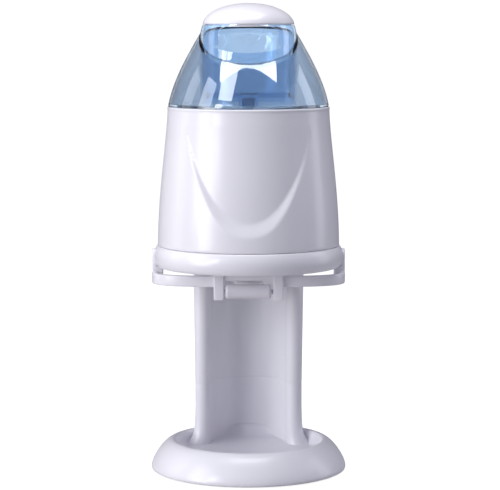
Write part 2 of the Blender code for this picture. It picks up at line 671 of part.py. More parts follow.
def freezer_bowl():
    shell = [(BOWL_R, BOWL_TOP), (BOWL_R - 1.8, BOWL_TOP), (BOWL_R - 1.8, 241.5), (BOWL_R - 5.4, 237.9),
             (14.2, 237.9), (14.2, BOWL_BOTTOM), (BOWL_R - 4, BOWL_BOTTOM), (BOWL_R, 240.0)]
    grey = material("bowl_grey", (0.72, 0.74, 0.78), 0.4)
    mesh_object("bowl_shell", turned(shell, BOWL_SEGMENTS), grey)
    aluminium = material("aluminium", (0.78, 0.79, 0.80), 0.25, 1.0)
    liner = [(LINER_R, BOWL_TOP), (LINER_R, 255.5), (LINER_R - 4.5, 249.0), (OUTLET_R, 246.6),
             (OUTLET_R, 201.5), (8.6, 201.5), (8.6, 248.0), (LINER_R - 5.2, 250.6),
             (LINER_R - 1.5, 256.0), (LINER_R - 1.5, BOWL_TOP)]
    mesh_object("bowl_liner", turned(liner, BOWL_SEGMENTS), aluminium)
    gel = [(BOWL_R - 2.1, BOWL_TOP - 6), (LINER_R + GAP, BOWL_TOP - 6), (LINER_R + GAP, 255.2),
           (LINER_R - 4.2, 248.6), (14.2, 246.4), (14.2, 238.3), (BOWL_R - 5.6, 238.3), (BOWL_R - 2.1, 241.8)]
    coolant = material("coolant_gel", (0.6, 0.75, 0.85), 0.3)
    mesh_object("bowl_coolant", turned(gel, BOWL_SEGMENTS), coolant)
    rim_low = BOWL_TOP + GAP
    rim = [(LINER_R - 1.4, rim_low), (BOWL_R - 0.2, rim_low), (BOWL_R - 0.2, rim_low + 2.2),
           (BOWL_R - 1.2, rim_low + 3.2), (LINER_R - 0.4, rim_low + 3.2), (LINER_R - 1.4, rim_low + 2.2)]
    mesh_object("bowl_rim", turned(rim, BOWL_SEGMENTS), white_plastic())


def paddle():
    """Anchor-shaped dasher: a stem, two low arms and two wall scrapers."""
    half = [(5.0, 353.6), (5.0, 270.0), (47.0, 270.0), (50.0, 273.0), (50.0, 331.0), (57.2, 331.0),
            (57.2, 262.0), (51.0, 255.0)]
    outline = half + [(-x, z) for x, z in half[::-1]]
    return mesh_object("paddle", upright(outline, [-2.5, 2.5]), white_plastic())


# -------------------------------------------------------------------- lid

def tower_rings(inset):
    """Outlines of the filling tower's wall, drawn in by a distance, with their heights."""
    low, shoulder, top = TOWER_Z
    radii = (TOWER_R, TOWER_R, TOWER_R - 0.9, TOWER_TOP_R)
    outlines = [circle(r - inset, (0, TOWER_Y), SHELL_SEGMENTS, 0.5) for r in radii]
    return outlines, [low, shoulder, shoulder + 5.0, top]


def lid():
    """The dome, open where the tower stands in it, with a lip inside the body's mouth."""
    dome = bezier(DOME_CURVE, 6) + bezier(DOME_TOP, 2)[1:]
    inside = [(r - LID_WALL, z - 0.35 * LID_WALL * (z > 380)) for r, z in bezier(DOME_CURVE, 6)[1:]]
    inside += [(r, z - LID_WALL) for r, z in bezier(DOME_TOP, 2)[1:]]
    flange_top, lip_bottom = LID_BOTTOM + 2.2, LID_BOTTOM - 4.0
    foot = [(68.5, flange_top), (68.5, lip_bottom), (70.7, lip_bottom), (70.7, LID_BOTTOM)]
    profile = dome + inside[::-1] + [(73.9, flange_top)] + foot
    cover = mesh_object("lid", turned(profile), blue_clear())
    outline = circle(TOWER_R + GAP, (0, TOWER_Y), SHELL_SEGMENTS, 0.5)
    cut(cover, lofted([outline, outline], [TOWER_Z[0] + 4, TOWER_Z[2] + 5]))
    return cover


def lid_tower():
    """The filling tower: a tube with a pouring mouth, a cross bar and the paddle's hub."""
    low, _, top = TOWER_Z
    tower = mesh_object("lid_tower", lofted(*tower_rings(0.0)), blue_clear())
    outlines, heights = tower_rings(LID_WALL)
    cut(tower, lofted(outlines, [low - 20, heights[1], heights[2], top + 5]))
    bottom, widest, shoulder_z = POUR_Z
    half = [(0.6, bottom), (19, bottom + 1.5), (31, bottom + 4.2), (POUR_HALF_W, widest),
            (31, shoulder_z - 5), (27, shoulder_z + 0.5), (24, top + 8)]
    outline = half + [(-x, z) for x, z in half[::-1]]
    cut(tower, upright(outline, [10.0, 80.0], TOWER_Y))
    join(tower, box((-41.5, -4, 354.2), (41.5, 4, 359.0)))
    join(tower, peg(9.5, (0, 0), 346.2, 358.0, 20))
    cut(tower, box((-5.3, -2.8, 340.0), (5.3, 2.8, 354.0)))
    return tower


def lid_gasket():
    low = LID_BOTTOM - 3.6
    band = [(70.95, low), (72.4, low), (73.0, low + 1.3), (70.95, low + 2.6)]
    return mesh_object("lid_gasket", turned(band, SHELL_SEGMENTS), grey_seal())


def cap():
    """Domed cap: its short plug ring sits inside the top of the tower."""
    outer = bezier(CAP_CURVE, 5)
    inner = [(max(r - WALL, 0.0), z - WALL * (r < 38)) for r, z in outer[::-1]]
    bottom = CAP_CURVE[0][1]
    plug = [(40.0, bottom), (40.0, bottom - 2.4), (38.2, bottom - 2.4), (38.2, bottom + 1.0)]
    inner[0] = (0.0, inner[0][1])
    profile = outer + inner[:-2] + plug[::-1]
    return mesh_object("cap", turned(profile, SHELL_SEGMENTS, (0, TOWER_Y)), white_plastic(), (0, TOWER_Y, 0))


def build():
    clear_scene()
    base_housing()
    base_plate()
    feet_and_base_screws()
    column()
    cord_gland()
    power_switch()
    leads()
    collar()
    collar_screws()
    turntable_gear()
    motor_pinion()
    gear_motor()
    bearing()
    spout()
    bail_lever()
    return_spring()
    body_housing()
    bowl_well()
    freezer_bowl()
    paddle()
    lid()
    lid_tower()
    lid_gasket()
    cap()


build()
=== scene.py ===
"""Looks of the soft-serve ice cream maker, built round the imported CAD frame.

Shapes are given in millimetres and turned into metres when a mesh is made: +Z up, +X right, -Y towards
the viewer, with heights from a datum plane DATUM above the table. Big heights and radii come from the CAD.
"""

import json
import math

import bmesh
import bpy
from mathutils import Matrix, Vector

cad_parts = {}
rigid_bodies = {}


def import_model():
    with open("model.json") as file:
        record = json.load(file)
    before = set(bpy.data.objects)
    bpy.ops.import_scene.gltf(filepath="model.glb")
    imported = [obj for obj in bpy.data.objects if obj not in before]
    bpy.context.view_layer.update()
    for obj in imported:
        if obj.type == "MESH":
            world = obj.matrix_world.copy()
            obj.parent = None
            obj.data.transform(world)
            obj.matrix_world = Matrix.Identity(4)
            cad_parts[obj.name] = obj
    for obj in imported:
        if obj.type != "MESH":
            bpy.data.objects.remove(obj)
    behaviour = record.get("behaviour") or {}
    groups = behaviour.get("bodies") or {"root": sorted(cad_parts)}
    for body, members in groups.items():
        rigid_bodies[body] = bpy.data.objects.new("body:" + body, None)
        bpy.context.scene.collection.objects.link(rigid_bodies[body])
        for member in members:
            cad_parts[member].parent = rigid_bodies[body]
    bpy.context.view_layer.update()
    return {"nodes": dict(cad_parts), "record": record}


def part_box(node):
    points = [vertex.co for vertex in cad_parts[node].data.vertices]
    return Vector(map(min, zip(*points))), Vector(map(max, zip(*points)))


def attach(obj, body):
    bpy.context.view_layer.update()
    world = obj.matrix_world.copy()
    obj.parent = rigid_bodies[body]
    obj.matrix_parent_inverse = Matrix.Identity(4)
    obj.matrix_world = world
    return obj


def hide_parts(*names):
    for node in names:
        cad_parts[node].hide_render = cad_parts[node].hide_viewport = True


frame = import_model()

MM = 0.001
DATUM = 4.6
FINEST = 320                    # segments round the body, so that its panel edge stays crisp
FINE = 160                      # segments round the big turned shells
MEDIUM = 72                     # segments round small turned pieces


def span(node):
    """The low and high corners of a CAD node, in millimetres from the datum."""
    return [Vector((c.x / MM, c.y / MM, c.z / MM - DATUM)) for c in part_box(node)]


BASE_LOW, SEAM_Z = span("base_housing")[0].z, span("base_housing")[1].z
BASE_R = span("base_housing")[1].x
RIM_Z = 25.2
SKIRT_CURVE = [(BASE_R, -1.0), (BASE_R, 6.6), (81.4, RIM_Z), (73.2, RIM_Z)]
TRAY_Z = 13.0
TRAY_FLOOR = 2.5                # thickness of the tray
COLUMN_Y = 36.0
COLUMN_OUT, COLUMN_TOP = span("column")[1].x, span("column")[1].z
COLUMN_SEAM_OUT = 52.3
COLUMN_IN = 37.0
FOOT_Z = 9.0                    # where the column's foot starts, inside the base
FOOT_FLARES = ((3.7, 46.0, 2.2), (9.0, 17.0, 2))   # how far, over what height, and to what power
FOOT_REACH = 91.5               # no part of the flare stands further from the base's middle
COLLAR_R = 87.3
COLLAR_LOW, COLLAR_TOP = span("collar")[0].z, span("collar")[1].z
COLLAR_CURVE = [(86.4, COLLAR_LOW), (91.6, 196.5), (91.8, 207.5), (COLLAR_R, COLLAR_TOP)]
COLLAR_FLOOR = COLLAR_LOW + 3.0
SPOUT_HOLE_R = 15.4
BODY_LOW, BODY_TOP = COLLAR_TOP + 0.3, span("body_housing")[1].z
BODY_R = span("body_housing")[1].x
BODY_WALL = 2.5
PANEL_SKIN = 3.2                # what lies within this of the outside is sunk with the front panel
PANEL_DEPTH = 4.5
PANEL_HALF, PANEL_LOW = 60.0, 220.0     # the panel's half width and lowest point, with some room
HORN_LOW, HORN_RUN = 238.0, 92.0        # the panel dies out from this height, over this run
LID_LOW = BODY_TOP + 0.3
LID_R = span("lid")[1].x
LID_WALL = 2.2
DOME_CURVE = [(LID_R, LID_LOW), (72.5, 369.0), (59.5, 392.0), (46.0, 415.0)]
CROWN_CURVE = [DOME_CURVE[-1], (41.0, 419.6), (34.0, 421.6), (24.0, 422.6)]
TOWER_Y = -16.0
TOWER_R, TOWER_TOP_R = 45.5, 43.0
CAP_TOP = span("cap")[1].z
CAP_LOW = CAP_TOP - 19.9
TOWER_TOP = CAP_LOW - 0.4
BEAD_R, BEAD_SIDES = 0.42, 8
LEVER_Z = 203.0
LEVER_OUT = (span("bail_lever")[1].x, 46.0)
LEVER_IN = (87.8, 41.2)
LEVER_POWER = 3.3
BAR_Z = (178.0, 188.4)
PRONG_X = (23.0, span("grip_axle")[1].x + 3.1)
PRONG_Y = (span("bail_lever")[0].y, -41.0)
PRONG_Z = (166.0, 190.8)
EAR_R = 7.0
SHOULDER_X = 82.0
GRIP_R = 7.0
GRIP_Y, GRIP_Z = -45.5, 174.0
GRIP_HALF = span("grip_roller")[1].x
GRIP_ROUND = 2.6
RIB_PITCH, RIB_DEPTH = 1.9, 0.22


# --------------------------------------------------------------- mesh tools

def cubic(curve, t):
    """The point at t, from 0 to 1, on the cubic with these four control points."""
    weights = ((1 - t) ** 3, 3 * t * (1 - t) ** 2, 3 * t * t * (1 - t), t ** 3)
    return tuple(sum(w * p[axis] for w, p in zip(weights, curve)) for axis in (0, 1))


def bezier(curve, count):
    """Points along a cubic, ends included."""
    return [cubic(curve, step / count) for step in range(count + 1)]


def arc(centre, radius, start, end, count):
    """Points along an arc between two angles in degrees, ends included."""
    return [(centre[0] + radius * math.cos(math.radians(start + (end - start) * i / count)),
             centre[1] + radius * math.sin(math.radians(start + (end - start) * i / count)))
            for i in range(count + 1)]


def eased(corners, steps=5, closed=True):
    """A polygon whose corners (x, y, radius) are rounded where a radius is given."""
    points = []
    count = len(corners)
    for i, point in enumerate(corners):
        here = Vector(point[:2])
        radius = point[2] if len(point) > 2 else 0.0
        if radius <= 0 or (not closed and i in (0, count - 1)):
            points.append(tuple(here))
            continue
        before, after = Vector(corners[i - 1][:2]), Vector(corners[(i + 1) % count][:2])
        back, ahead = before - here, after - here
        reach = min(radius, 0.48 * back.length, 0.48 * ahead.length)
        a, b = here + back.normalized() * reach, here + ahead.normalized() * reach
        for step in range(steps + 1):
            t = step / steps
            points.append(tuple((1 - t) ** 2 * a + 2 * t * (1 - t) * here + t * t * b))
    return points


def turned(profile, segments=FINE, centre=(0.0, 0.0)):
    """A closed profile of (radius, height) turned about a vertical axis."""
    bm = bmesh.new()
    rings = []
    for radius, height in profile:
        if radius < 1e-6:
            rings.append([bm.verts.new((centre[0], centre[1], height))])
            continue
        rings.append([bm.verts.new((centre[0] + radius * math.cos(math.tau * i / segments),
                                    centre[1] + radius * math.sin(math.tau * i / segments), height))
                      for i in range(segments)])
    for ring, other in zip(rings, rings[1:] + rings[:1]):
        if len(ring) == 1 and len(other) == 1:
            continue
        for i in range(segments):
            k = (i + 1) % segments
            corners = [ring[i % len(ring)], ring[k % len(ring)],
                       other[k % len(other)], other[i % len(other)]]
            bm.faces.new(list(dict.fromkeys(corners)))
    return bm


def skinned(bm, rings):
    """Faces between neighbouring rings of vertices, and one across each end."""
    for low, high in zip(rings, rings[1:]):
        for i in range(len(low)):
            k = (i + 1) % len(low)
            bm.faces.new((low[i], low[k], high[k], high[i]))
    bm.faces.new(rings[0])
    bm.faces.new(rings[-1])
    return bm


def lofted(outlines, heights):
    """A solid through outlines of equal length at the given heights, with flat ends."""
    bm = bmesh.new()
    rings = [[bm.verts.new((x, y, z)) for x, y in outline] for outline, z in zip(outlines, heights)]
    return skinned(bm, rings)


def plate(outline, low, high, edge=0.8, steps=4):
    """A flat solid with rounded rims: the outline is drawn in a little at both ends."""
    outlines, heights = [], []
    for end, sign in ((low, 1), (high, -1)):
        ring = []
        for step in range(steps + 1):
            a = math.radians(90 * step / steps)
            ring.append((edge * (1 - math.sin(a)), end + sign * edge * (1 - math.cos(a))))
        if sign < 0:
            ring.reverse()
        for inset, z in ring:
            outlines.append(drawn_in(outline, inset))
            heights.append(z)
    return lofted(outlines, heights)


def drawn_in(outline, inset):
    """The outline moved inwards by a distance, vertex by vertex; it runs anticlockwise."""
    if inset < 1e-9:
        return list(outline)
    points = [Vector(p) for p in outline]
    moved = []
    for i, here in enumerate(points):
        back = (here - points[i - 1]).normalized()
        ahead = (points[(i + 1) % len(points)] - here).normalized()
        normal = Vector((-(back + ahead).y, (back + ahead).x))
        if normal.length < 1e-6:
            normal = Vector((-ahead.y, ahead.x))
        normal.normalize()
        lean = max(0.5, normal.dot(Vector((-ahead.y, ahead.x))))
        moved.append(tuple(here + normal * inset / lean))
    return moved


def laid(bm, along, centre=(0, 0, 0)):
    """Turns a shape made about +Z so that it runs along X or Y through the centre."""
    degrees, about = (90, "Y") if along == "X" else (-90, "X")
    turn = Matrix.Rotation(math.radians(degrees), 4, about)
    bmesh.ops.transform(bm, matrix=Matrix.Translation(centre) @ turn, verts=bm.verts)
    return bm


def upright(bm, y=0.0):
    """Turns a plate drawn in (x, z) so that it stands and its thickness runs towards -Y from y."""
    stand = Matrix(((1, 0, 0, 0), (0, 0, -1, 0), (0, 1, 0, 0), (0, 0, 0, 1)))
    bmesh.ops.transform(bm, matrix=Matrix.Translation((0, y, 0)) @ stand, verts=bm.verts)
    return bm


def sideways(bm):
    """Turns a plate drawn in (y, z) so that its thickness runs along X."""
    turn = Matrix(((0, 0, 1, 0), (1, 0, 0, 0), (0, 1, 0, 0), (0, 0, 0, 1)))
    bmesh.ops.transform(bm, matrix=turn, verts=bm.verts)
    return bm


def mesh_object(name, bm, finish, sharp=35):
    bmesh.ops.recalc_face_normals(bm, faces=bm.faces)
    bmesh.ops.translate(bm, verts=bm.verts, vec=(0, 0, DATUM))
    bmesh.ops.scale(bm, verts=bm.verts, vec=(MM, MM, MM))
    mesh = bpy.data.meshes.new(name)
    bm.to_mesh(mesh)
    bm.free()
    if finish:
        mesh.materials.append(finish)
    mesh.shade_smooth()
    mesh.set_sharp_from_angle(angle=math.radians(sharp))
    obj = bpy.data.objects.new(name, mesh)
    bpy.context.scene.collection.objects.link(obj)
    return obj


def piece(name, bm, finish, body, slot_name, *nodes, sharp=35):
    """A finished piece: it rides on a body and stands for its CAD nodes; the slot it is given is not used."""
    obj = mesh_object(name, bm, finish, sharp)
    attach(obj, body)
    if nodes:
        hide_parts(*nodes)
    return obj


def apply_boolean(obj, tool, operation):
    """Applies one exact Boolean, then removes its tool, which may have a finish of its own to pass on."""
    if not isinstance(tool, bpy.types.Object):
        tool = mesh_object("tool", tool, None)
    step = obj.modifiers.new("step", "BOOLEAN")
    step.operation = operation
    step.solver = "EXACT"
    step.object = tool
    if tool.data.materials:
        step.material_mode = "TRANSFER"
    graph = bpy.context.evaluated_depsgraph_get()
    result = bpy.data.meshes.new_from_object(obj.evaluated_get(graph))
    obj.modifiers.clear()
    obj.data = result
    bpy.data.objects.remove(tool, do_unlink=True)


def smooth_again(obj, sharp):
    """Smooth shading with sharp creases, which a Boolean's result has lost."""
    obj.data.shade_smooth()
    obj.data.set_sharp_from_angle(angle=math.radians(sharp))


# ---------------------------------------------------------------- materials

def new_material(name):
    made = bpy.data.materials.new(name)
    made.use_nodes = True
    return made, made.node_tree.nodes, made.node_tree.links, made.node_tree.nodes["Principled BSDF"]


def noise(nodes, links, scale, detail=3.0, roughness=0.5):
    """Noise over the object's own coordinates, so that it rides with the piece."""
    where = nodes.new("ShaderNodeTexCoord")
    made = nodes.new("ShaderNodeTexNoise")
    made.inputs["Scale"].default_value = scale
    made.inputs["Detail"].default_value = detail
    made.inputs["Roughness"].default_value = roughness
    links.new(where.outputs["Object"], made.inputs["Vector"])
    return made


def ramp(nodes, links, source, low, high, start=0.3, end=0.7):
    made = nodes.new("ShaderNodeValToRGB")
    made.color_ramp.elements[0].position = start
    made.color_ramp.elements[0].color = (*low, 1.0)
    made.color_ramp.elements[1].position = end
    made.color_ramp.elements[1].color = (*high, 1.0)
    links.new(source, made.inputs["Fac"])
    return made


def spread(nodes, links, source, low, high):
    """A value from 0 to 1 mapped to a range, such as roughness or strength."""
    made = nodes.new("ShaderNodeMapRange")
    made.inputs["To Min"].default_value = low
    made.inputs["To Max"].default_value = high
    links.new(source, made.inputs["Value"])
    return made


def bump(nodes, links, source, strength, distance):
    made = nodes.new("ShaderNodeBump")
    made.inputs["Strength"].default_value = strength
    made.inputs["Distance"].default_value = distance
    links.new(source, made.inputs["Height"])
    return made


def moulded(name, light, dark, rough=(0.28, 0.36), grain=900.0, depth=0.00003, coat=0.0):
    """Injection-moulded plastic: faint colour drift, fine tool grain, slight gloss variation."""
    made, nodes, links, shader = new_material(name)
    drift = noise(nodes, links, 9.0, 2.0)
    links.new(ramp(nodes, links, drift.outputs["Fac"], dark, light, 0.0, 1.0).outputs["Color"],
              shader.inputs["Base Color"])
    gloss = noise(nodes, links, 26.0, 4.0).outputs["Fac"]
    links.new(spread(nodes, links, gloss, *rough).outputs["Result"], shader.inputs["Roughness"])
    tooling = noise(nodes, links, grain, 2.0).outputs["Fac"]
    links.new(bump(nodes, links, tooling, 0.35, depth).outputs["Normal"], shader.inputs["Normal"])
    shader.inputs["Coat Weight"].default_value = coat
    shader.inputs["Coat Roughness"].default_value = 0.12
    return made


def brushed(name, light, dark, rough=(0.22, 0.4), stretch=(1.0, 1.0, 30.0)):
    """Turned or plated metal with fine lines across its length."""
    made, nodes, links, shader = new_material(name)
    where = nodes.new("ShaderNodeTexCoord")
    scaled = nodes.new("ShaderNodeMapping")
    scaled.inputs["Scale"].default_value = stretch
    links.new(where.outputs["Object"], scaled.inputs["Vector"])
    lines = nodes.new("ShaderNodeTexNoise")
    lines.inputs["Scale"].default_value = 60.0
    lines.inputs["Detail"].default_value = 5.0
    links.new(scaled.outputs["Vector"], lines.inputs["Vector"])
    level = lines.outputs["Fac"]
    links.new(ramp(nodes, links, level, dark, light).outputs["Color"], shader.inputs["Base Color"])
    links.new(spread(nodes, links, level, *rough).outputs["Result"], shader.inputs["Roughness"])
    links.new(bump(nodes, links, level, 0.2, 0.00004).outputs["Normal"], shader.inputs["Normal"])
    shader.inputs["Metallic"].default_value = 1.0
    return made


def clear_styrene(name, light, dark, edge):
    """Clear tinted styrene: polished, with faint flow waves, deeper in colour where it is seen edge on."""
    made, nodes, links, shader = new_material(name)
    drift = ramp(nodes, links, noise(nodes, links, 14.0, 2.0).outputs["Fac"], dark, light)
    facing = nodes.new("ShaderNodeLayerWeight")
    facing.inputs["Blend"].default_value = 0.5
    steep = nodes.new("ShaderNodeMath")
    steep.operation = "POWER"
    steep.inputs[1].default_value = 5.0
    links.new(facing.outputs["Facing"], steep.inputs[0])
    tint = nodes.new("ShaderNodeMix")
    tint.data_type = "RGBA"
    links.new(steep.outputs["Value"], tint.inputs["Factor"])
    links.new(drift.outputs["Color"], tint.inputs["A"])
    tint.inputs["B"].default_value = (*edge, 1.0)
    links.new(tint.outputs["Result"], shader.inputs["Base Color"])
    polish = noise(nodes, links, 40.0, 3.0).outputs["Fac"]
    links.new(spread(nodes, links, polish, 0.01, 0.03).outputs["Result"], shader.inputs["Roughness"])
    waves = noise(nodes, links, 22.0, 1.0).outputs["Fac"]
    links.new(bump(nodes, links, waves, 0.05, 0.0004).outputs["Normal"], shader.inputs["Normal"])
    shader.inputs["Transmission Weight"].default_value = 1.0
    shader.inputs["IOR"].default_value = 1.24
    shader.inputs["Coat Weight"].default_value = 1.0
    shader.inputs["Coat IOR"].default_value = 1.5
    shader.inputs["Coat Roughness"].default_value = 0.02
    return made


WHITE = moulded("white_plastic", (0.866, 0.860, 0.898), (0.856, 0.850, 0.888), (0.27, 0.31), coat=0.2)
GRIP_WHITE = moulded("grip_plastic", (0.80, 0.78, 0.82), (0.76, 0.74, 0.78), (0.38, 0.5), 500.0, 0.00005)
# Painted shade and light: one clear blue styrene in shaded and lit copies; the dome's tint is darkened and
# greyed as painted shade, the tower's lightened as painted light.
CLEAR_BLUE_SHADED = clear_styrene("clear_blue", (0.46, 0.54, 0.64), (0.43, 0.51, 0.61), (0.08, 0.13, 0.22))
TOWER_BLUE_LIT = clear_styrene("clear_blue_tower_lit", (0.61, 0.76, 0.93), (0.58, 0.73, 0.90), (0.18, 0.30, 0.50))
# Painted shade: the joint's tint is nearly black, drawing the dark line where dome and tower meet.
JOINT_BLUE_PAINTED_DARK = clear_styrene("clear_blue_joint_painted_dark", (0.05, 0.09, 0.16), (0.04, 0.07, 0.13), (0.02, 0.04, 0.08))
RUBBER = moulded("foot_rubber", (0.045, 0.045, 0.05), (0.025, 0.025, 0.03), (0.6, 0.8), 700.0, 0.00008)
SEAL = moulded("seal_silicone", (0.66, 0.68, 0.71), (0.58, 0.60, 0.63), (0.45, 0.6), 500.0, 0.00005)
GREY = moulded("base_grey", (0.68, 0.68, 0.72), (0.62, 0.62, 0.66), (0.45, 0.6), 600.0, 0.00008)
BOWL_GREY = moulded("bowl_grey", (0.76, 0.78, 0.82), (0.70, 0.72, 0.76), (0.35, 0.45))
ACETAL = moulded("natural_acetal", (0.90, 0.89, 0.84), (0.85, 0.84, 0.78), (0.32, 0.42))
GEL = moulded("coolant_gel", (0.62, 0.78, 0.88), (0.52, 0.70, 0.82), (0.25, 0.4), 80.0, 0.0002)
BLACK = moulded("switch_black", (0.035, 0.035, 0.04), (0.02, 0.02, 0.025), (0.3, 0.42))
RED = moulded("switch_red", (0.55, 0.035, 0.03), (0.45, 0.02, 0.02), (0.22, 0.32), coat=0.3)
LEAD = moulded("lead_insulation", (0.86, 0.86, 0.84), (0.78, 0.78, 0.76), (0.45, 0.6))
STEEL = brushed("zinc_steel", (0.66, 0.67, 0.69), (0.50, 0.51, 0.53))
ALUMINIUM = brushed("spun_aluminium", (0.83, 0.84, 0.85), (0.70, 0.71, 0.73), (0.25, 0.4), (1.0, 1.0, 40.0))
BRONZE = brushed("sintered_bronze", (0.70, 0.46, 0.22), (0.52, 0.32, 0.14), (0.35, 0.55), (1.0, 1.0, 1.0))

SLOT_FINISH = {"white_plastic": WHITE, "clear_blue": CLEAR_BLUE_SHADED, "base_grey": GREY, "rubber": RUBBER,
               "seal": SEAL, "steel": STEEL, "aluminium": ALUMINIUM, "bronze": BRONZE, "acetal": ACETAL,
               "bowl_grey": BOWL_GREY, "coolant": GEL, "switch_black": BLACK, "switch_red": RED,
               "lead_skin": LEAD}


def finish_cad_nodes():
    """Every CAD node that stays gets its slot's procedural material."""
    slots = {row["node"]: row["material_slot"] for row in frame["record"]["subparts"]}
    for name, node in frame["nodes"].items():
        node.data.materials.clear()
        node.data.materials.append(SLOT_FINISH[slots[name]])


# --------------------------------------------------------------------- base

def base_dish():
    """Round skirt rolling over a broad rim into the tray."""
    rim = SKIRT_CURVE[-1]
    skirt = [(BASE_R - 1.3, BASE_LOW), (BASE_R - 0.4, BASE_LOW + 0.5)] + bezier(SKIRT_CURVE, 40)
    roll = bezier([rim, (70.6, rim[1]), (70.0, 22.6), (69.4, 20.0)], 10)[1:]
    wall = bezier([(69.4, 20.0), (68.6, 16.4), (68.0, TRAY_Z), (63.0, TRAY_Z)], 10)[1:]
    under = [(0.0, TRAY_Z), (0.0, TRAY_Z - TRAY_FLOOR), (67.6, TRAY_Z - TRAY_FLOOR), (71.9, 19.0),
             (73.6, 22.3), (77.6, 20.4), (84.2, 13.0), (89.2, 4.4), (91.3, -0.6), (91.3, BASE_LOW)]
    piece("base_dish", turned(skirt + roll + wall + under), WHITE, "frame", "white_plastic", "base_housing")


def c_outline(outer, inner, steps=56, tip_steps=14):
    """The column's plan: an arc about (0, COLUMN_Y) open to the front, with round ends."""
    centre = (0.0, COLUMN_Y)
    middle, half = (outer + inner) / 2, (outer - inner) / 2
    left, right = (-middle, COLUMN_Y), (middle, COLUMN_Y)
    return (arc(centre, outer, 0, 180, steps) + arc(left, half, 180, 360, tip_steps)[1:-1]
            + arc(centre, inner, 180, 0, steps) + arc(right, half, 180, 360, tip_steps)[1:-1])


def column_pieces():
    """The stub that belongs to the base, flaring at its foot, and the post above the seam."""
    def section(z, grow=0.0):
        if z > SEAM_Z:
            outer = COLUMN_SEAM_OUT + (COLUMN_OUT - COLUMN_SEAM_OUT) * (z - SEAM_Z) / (COLUMN_TOP - SEAM_Z)
        else:
            outer = COLUMN_SEAM_OUT
            for out, run, power in FOOT_FLARES:
                outer += out * max(0.0, 1 - (z - FOOT_Z) / run) ** power
        points = []
        for x, y in c_outline(outer + grow, COLUMN_IN - grow):
            kept = min(1.0, FOOT_REACH / math.hypot(x, y))
            points.append((x * kept, y * kept))
        return points

    heights = [FOOT_Z, 12.0, 15.0, 18.0, 22.0, 27.0, 33.0, 40.0, 48.0, 60.0, SEAM_Z - 0.6, SEAM_Z - 0.2,
               SEAM_Z]
    grows = [0.0] * (len(heights) - 2) + [-0.05, -0.25]
    stub = lofted([section(z, g) for z, g in zip(heights, grows)], heights)
    piece("column_stub", stub, WHITE, "frame", "white_plastic", "base_housing")
    low = SEAM_Z + 0.05
    heights = [low, low + 0.2, low + 0.6, 100.0, 140.0, COLUMN_TOP]
    grows = [-0.25, -0.05, 0.0, 0.0, 0.0, 0.0]
    post = lofted([section(z, g) for z, g in zip(heights, grows)], heights)
    post_piece = piece("column_post", post, WHITE, "frame", "white_plastic", "column")
    pocket = lofted([[(-9.5, 79), (9.5, 79), (9.5, 95), (-9.5, 95)]] * 2, [135.5, 148.5])
    apply_boolean(post_piece, pocket, "DIFFERENCE")


def foot_pads():
    for number in range(1, 5):
        low, high = span(f"foot_{number}")
        centre = ((low.x + high.x) / 2, (low.y + high.y) / 2)
        radius, bottom, top = (high.x - low.x) / 2, low.z, high.z
        profile = eased([(0, bottom), (radius - 2.4, bottom, 0.3), (radius - 1.8, bottom + 0.35, 0.3),
                         (radius - 0.4, bottom + 0.35, 0.6), (radius, bottom + 0.8, 0.4), (radius, top),
                         (0, top)])
        piece(f"foot_pad_{number}", turned(profile, 48, centre), RUBBER, "frame", "rubber", f"foot_{number}")


def gland_and_switch():
    low, high = span("cord_gland")
    front, back = low.y, high.y
    centre_z = (low.z + high.z) / 2
    profile = eased([(3.4, 0, 0.5), (4.6, 0, 0.4), (4.6, back - front - 2.2), (6.6, back - front - 2.2, 0.3),
                     (6.6, back - front - 1.0, 0.9), (5.4, back - front, 0.8), (3.4, back - front, 0.6)])
    piece("cord_gland_bush", laid(turned(profile, 48), "Y", (0, front, centre_z)), RUBBER, "frame", "rubber",
          "cord_gland")
    low, high = span("switch_bezel")
    middle = (low.z + high.z) / 2
    frame_out = eased([(-11, -8, 2.0), (11, -8, 2.0), (11, 8, 2.0), (-11, 8, 2.0)])
    bezel = plate(frame_out, -high.y, -(high.y - 1.4), 0.5)
    upright(bezel)
    bmesh.ops.translate(bezel, verts=bezel.verts, vec=(0, 0, middle))
    made = mesh_object("switch_frame", bezel, BLACK)
    tail = eased([(-9.2, -6.2, 0.6), (9.2, -6.2, 0.6), (9.2, 6.2, 0.6), (-9.2, 6.2, 0.6)])
    body = upright(lofted([tail] * 2, [-(high.y - 0.9), -low.y]))
    bmesh.ops.translate(body, verts=body.verts, vec=(0, 0, middle))
    apply_boolean(made, body, "UNION")
    hole = eased([(-6.6, -5.3, 0.8), (6.6, -5.3, 0.8), (6.6, 5.3, 0.8), (-6.6, 5.3, 0.8)])
    pocket = upright(lofted([hole] * 2, [-(high.y + 3), -(low.y + 2)]))
    bmesh.ops.translate(pocket, verts=pocket.verts, vec=(0, 0, middle))
    apply_boolean(made, pocket, "DIFFERENCE")
    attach(made, "frame")
    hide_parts("switch_bezel")
    side = eased([(82.5, -3.0, 0.6), (90.6, -4.6, 0.9), (89.9, 0.0, 4.0), (90.6, 4.6, 0.9), (82.5, 3.0, 0.6)])
    rocker = sideways(plate([(y, z + middle) for y, z in side], -6.0, 6.0, 0.5))
    piece("switch_rocker_key", rocker, RED, "rocker", "switch_red", "switch_rocker")


# ------------------------------------------------------------- body, collar

def panel_edges(x):
    """Heights of the outer and the inner edge of the sunk front panel at a distance from its middle."""
    x = abs(x)
    steep = (x / 57.0) ** 12
    outer = 228.0 + 0.00306 * x ** 2.53 + 9.0 * steep
    inner = 241.5 + 0.00949 * x ** 2.19 + 13.0 * steep
    return outer, inner


